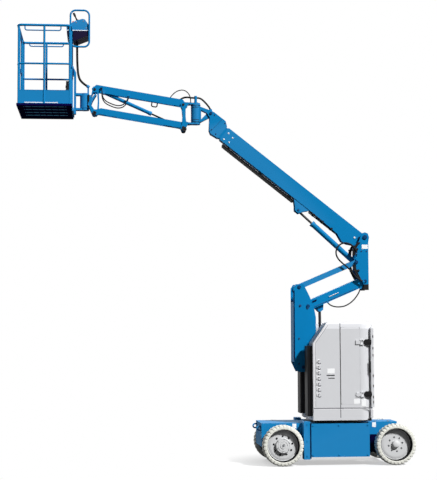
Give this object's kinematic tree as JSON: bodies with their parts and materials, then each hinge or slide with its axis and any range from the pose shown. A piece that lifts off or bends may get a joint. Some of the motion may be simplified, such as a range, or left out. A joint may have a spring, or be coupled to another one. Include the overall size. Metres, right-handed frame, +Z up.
{
  "type": "articulating boom lift",
  "caption": "Compact self-propelled articulating boom lift with a folding parallelogram riser, telescoping boom, rotating jib and turning work platform.",
  "frame": {"origin": "on the ground, midway along and across the whole machine as it stands in its rest pose", "axes": "+Z up; +X toward the steered end, away from the platform; +Y toward the far side, across the machine"},
  "size_m": [5.4698, 1.19, 6.3788],
  "materials": {
    "blue_paint": "gloss",
    "grey_cover": "satin",
    "grey_steel": "satin",
    "black_steel": "satin",
    "black_plastic": "satin",
    "tyre_rubber": "matte",
    "rim_grey": "satin",
    "cylinder_zinc": "satin",
    "rod_chrome": "polished",
    "black_rubber": "matte",
    "ballast_iron": "rough"
  },
  "bodies": {
    "chassis": {"chassis_frame": "blue_paint", "slew_ring": "black_steel", "drive_hubs": "black_steel", "steer_axle": "black_steel"},
    "steer_knuckle_near": {"steer_knuckle_near": "black_steel"},
    "steer_knuckle_far": {"steer_knuckle_far": "black_steel"},
    "tie_bar": {"tie_bar": "black_steel"},
    "wheel_drive_near": {"tyre_drive_near": "tyre_rubber", "rim_drive_near": "rim_grey"},
    "wheel_drive_far": {"tyre_drive_far": "tyre_rubber", "rim_drive_far": "rim_grey"},
    "wheel_steer_near": {"tyre_steer_near": "tyre_rubber", "rim_steer_near": "rim_grey"},
    "wheel_steer_far": {"tyre_steer_far": "tyre_rubber", "rim_steer_far": "rim_grey"},
    "turntable": {"turntable_base": "grey_steel", "side_cover_near": "grey_cover", "side_cover_far": "grey_cover", "front_guards": "black_plastic", "counterweight": "ballast_iron", "battery_packs": "ballast_iron", "riser_frame": "blue_paint"},
    "cover_door_near": {"cover_door_near": "grey_cover"},
    "cover_door_far": {"cover_door_far": "grey_cover"},
    "lower_link_main": {"lower_link_main": "blue_paint"},
    "lower_link_level": {"lower_link_level": "blue_paint"},
    "tower": {"tower": "blue_paint"},
    "upper_link_main": {"upper_link_main": "blue_paint", "riser_hose": "black_rubber"},
    "upper_link_level": {"upper_link_level": "blue_paint"},
    "knuckle": {"knuckle": "blue_paint", "rest_pads": "black_rubber", "knuckle_hose": "black_rubber"},
    "riser_barrel": {"riser_barrel": "black_steel"},
    "riser_rod": {"riser_rod": "rod_chrome"},
    "boom": {"boom_outer": "blue_paint", "cable_track": "black_plastic"},
    "lift_barrel": {"lift_barrel": "blue_paint"},
    "lift_rod": {"lift_rod": "rod_chrome"},
    "extension": {"boom_inner": "blue_paint"},
    "tip_bracket": {"tip_bracket": "blue_paint", "tip_hose": "black_rubber"},
    "jib_base": {"jib_base": "blue_paint", "swivel_hose": "black_rubber", "arch_hose": "black_rubber"},
    "jib_upper": {"jib_upper": "blue_paint", "jib_hose_near": "black_rubber", "jib_hose_far": "black_rubber"},
    "jib_lower": {"jib_lower": "blue_paint"},
    "jib_barrel": {"jib_barrel": "cylinder_zinc"},
    "jib_rod": {"jib_rod": "rod_chrome"},
    "platform_head": {"platform_head": "blue_paint"},
    "platform": {"platform_support": "blue_paint", "basket_frame": "blue_paint", "basket_floor": "blue_paint", "control_box": "blue_paint", "outlet_box": "black_plastic", "platform_hose": "black_rubber"},
    "gate": {"gate": "blue_paint"}
  },
  "joints": [
    {"name": "steering", "type": "hinge", "parent": "chassis", "child": "steer_knuckle_near", "pos_m": [2.45494, -0.39, 0.28], "axis": [0, 0, 1], "range_deg": [-35, 35]},
    {"name": "steering_far", "type": "hinge", "parent": "chassis", "child": "steer_knuckle_far", "pos_m": [2.45494, 0.39, 0.28], "axis": [0, 0, 1], "range_deg": [-35, 35]},
    {"name": "tie_bar_slide", "type": "slide", "parent": "chassis", "child": "tie_bar", "axis": [0, 1, 0], "range_m": [-0.08, 0.08]},
    {"name": "wheel_drive_near_spin", "type": "hinge", "parent": "chassis", "child": "wheel_drive_near", "pos_m": [0.89494, -0.505, 0.28], "axis": [0, 1, 0], "continuous": true},
    {"name": "wheel_drive_far_spin", "type": "hinge", "parent": "chassis", "child": "wheel_drive_far", "pos_m": [0.89494, 0.505, 0.28], "axis": [0, 1, 0], "continuous": true},
    {"name": "wheel_steer_near_spin", "type": "hinge", "parent": "steer_knuckle_near", "child": "wheel_steer_near", "pos_m": [2.45494, -0.505, 0.28], "axis": [0, 1, 0], "continuous": true},
    {"name": "wheel_steer_far_spin", "type": "hinge", "parent": "steer_knuckle_far", "child": "wheel_steer_far", "pos_m": [2.45494, 0.505, 0.28], "axis": [0, 1, 0], "continuous": true},
    {"name": "slew", "type": "hinge", "parent": "chassis", "child": "turntable", "pos_m": [1.67494, 0, 0.615], "axis": [0, 0, 1], "range_deg": [-177, 177]},
    {"name": "cover_door_near_swing", "type": "hinge", "parent": "turntable", "child": "cover_door_near", "pos_m": [1.98294, -0.54, 1.36], "axis": [0, 0, 1], "range_deg": [0, 100]},
    {"name": "cover_door_far_swing", "type": "hinge", "parent": "turntable", "child": "cover_door_far", "pos_m": [1.98294, 0.54, 1.36], "axis": [0, 0, -1], "range_deg": [0, 100]},
    {"name": "riser_lift", "type": "hinge", "parent": "turntable", "child": "lower_link_main", "pos_m": [2.05958, 0, 0.98282], "axis": [0, 1, 0], "range_deg": [-37.1, 41.9]},
    {"name": "lower_link_level_turn", "type": "hinge", "parent": "turntable", "child": "lower_link_level", "pos_m": [2.09958, 0, 1.19782], "axis": [0, 1, 0], "range_deg": [-37.1, 41.9]},
    {"name": "tower_level", "type": "hinge", "parent": "lower_link_main", "child": "tower", "pos_m": [1.24094, 0, 1.332], "axis": [0, -1, 0], "range_deg": [-37.1, 41.9]},
    {"name": "upper_link_main_turn", "type": "hinge", "parent": "tower", "child": "upper_link_main", "pos_m": [1.31694, 0, 2.189], "axis": [0, -1, 0], "range_deg": [-37.1, 41.9]},
    {"name": "upper_link_level_turn", "type": "hinge", "parent": "tower", "child": "upper_link_level", "pos_m": [1.19594, 0, 2.457], "axis": [0, -1, 0], "range_deg": [-37.1, 41.9]},
    {"name": "knuckle_level", "type": "hinge", "parent": "upper_link_main", "child": "knuckle", "pos_m": [2.13558, 0, 2.53818], "axis": [0, 1, 0], "range_deg": [-37.1, 41.9]},
    {"name": "riser_barrel_turn", "type": "hinge", "parent": "lower_link_main", "child": "riser_barrel", "pos_m": [1.51641, 0, 1.11122], "axis": [0, -1, 0], "range_deg": [-28.89, 32.56]},
    {"name": "riser_rod_slide", "type": "slide", "parent": "riser_barrel", "child": "riser_rod", "axis": [-0.0125, 0, 0.9999], "range_m": [-0.27687, 0.31243]},
    {"name": "boom_lift", "type": "hinge", "parent": "knuckle", "child": "boom", "pos_m": [2.13758, 0, 3.16018], "axis": [0, 1, 0], "range_deg": [-38.2, 36.8]},
    {"name": "lift_barrel_turn", "type": "hinge", "parent": "knuckle", "child": "lift_barrel", "pos_m": [2.01458, 0, 2.80618], "axis": [0, 1, 0], "range_deg": [-33.83, 32.6]},
    {"name": "lift_rod_slide", "type": "slide", "parent": "lift_barrel", "child": "lift_rod", "axis": [-0.7387, 0, 0.6741], "range_m": [-0.22567, 0.21747]},
    {"name": "boom_extension", "type": "slide", "parent": "boom", "child": "extension", "axis": [-0.7859, 0, 0.6184], "range_m": [0, 1.2]},
    {"name": "tip_level", "type": "hinge", "parent": "extension", "child": "tip_bracket", "pos_m": [-0.03617, 0, 4.91911], "axis": [0, -1, 0], "range_deg": [-38.2, 36.8]},
    {"name": "jib_rotate", "type": "hinge", "parent": "tip_bracket", "child": "jib_base", "pos_m": [-0.24818, 0, 4.91911], "axis": [0, 0, 1], "range_deg": [-90, 90]},
    {"name": "jib_lift", "type": "hinge", "parent": "jib_base", "child": "jib_upper", "pos_m": [-0.42917, 0, 5.04011], "axis": [0, 1, 0], "range_deg": [-78.2, 60.8]},
    {"name": "jib_lower_turn", "type": "hinge", "parent": "jib_base", "child": "jib_lower", "pos_m": [-0.42917, 0, 4.71511], "axis": [0, 1, 0], "range_deg": [-78.2, 60.8]},
    {"name": "jib_barrel_turn", "type": "hinge", "parent": "jib_upper", "child": "jib_barrel", "pos_m": [-1.54592, 0, 5.21288], "axis": [0, 1, 0], "range_deg": [-4.15, 5.19]},
    {"name": "jib_rod_slide", "type": "slide", "parent": "jib_barrel", "child": "jib_rod", "axis": [0.9134, 0, -0.4071], "range_m": [-0.34321, 0.26729]},
    {"name": "platform_level", "type": "hinge", "parent": "jib_upper", "child": "platform_head", "pos_m": [-1.67494, 0, 5.24188], "axis": [0, -1, 0], "range_deg": [-78.2, 60.8]},
    {"name": "platform_rotate", "type": "hinge", "parent": "platform_head", "child": "platform", "pos_m": [-1.81494, 0, 5.07188], "axis": [0, 0, 1], "range_deg": [-90, 90]},
    {"name": "gate_swing", "type": "hinge", "parent": "platform", "child": "gate", "pos_m": [-2.71694, 0.252, 5.49988], "axis": [0, 0, 1], "range_deg": [0, 85]}
  ],
  "couplings": [
    {"joint": "steering_far", "follows": "steering", "ratio": 1},
    {"joint": "tie_bar_slide", "follows": "steering", "m_per_rad": -0.11737},
    {"joint": "lower_link_level_turn", "follows": "riser_lift", "ratio": 1},
    {"joint": "tower_level", "follows": "riser_lift", "ratio": 1},
    {"joint": "upper_link_main_turn", "follows": "riser_lift", "ratio": 1},
    {"joint": "upper_link_level_turn", "follows": "riser_lift", "ratio": 1},
    {"joint": "knuckle_level", "follows": "riser_lift", "ratio": 1},
    {"joint": "riser_barrel_turn", "follows": "riser_lift", "ratio": 0.7652},
    {"joint": "riser_rod_slide", "follows": "riser_lift", "m_per_rad": 0.4245},
    {"joint": "lift_barrel_turn", "follows": "boom_lift", "ratio": 0.8724},
    {"joint": "lift_rod_slide", "follows": "boom_lift", "m_per_rad": 0.33548},
    {"joint": "tip_level", "follows": "boom_lift", "ratio": 1},
    {"joint": "jib_lower_turn", "follows": "jib_lift", "ratio": 1},
    {"joint": "jib_barrel_turn", "follows": "jib_lift", "ratio": -0.06},
    {"joint": "jib_rod_slide", "follows": "jib_lift", "m_per_rad": 0.25},
    {"joint": "platform_level", "follows": "jib_lift", "ratio": 1}
  ]
}
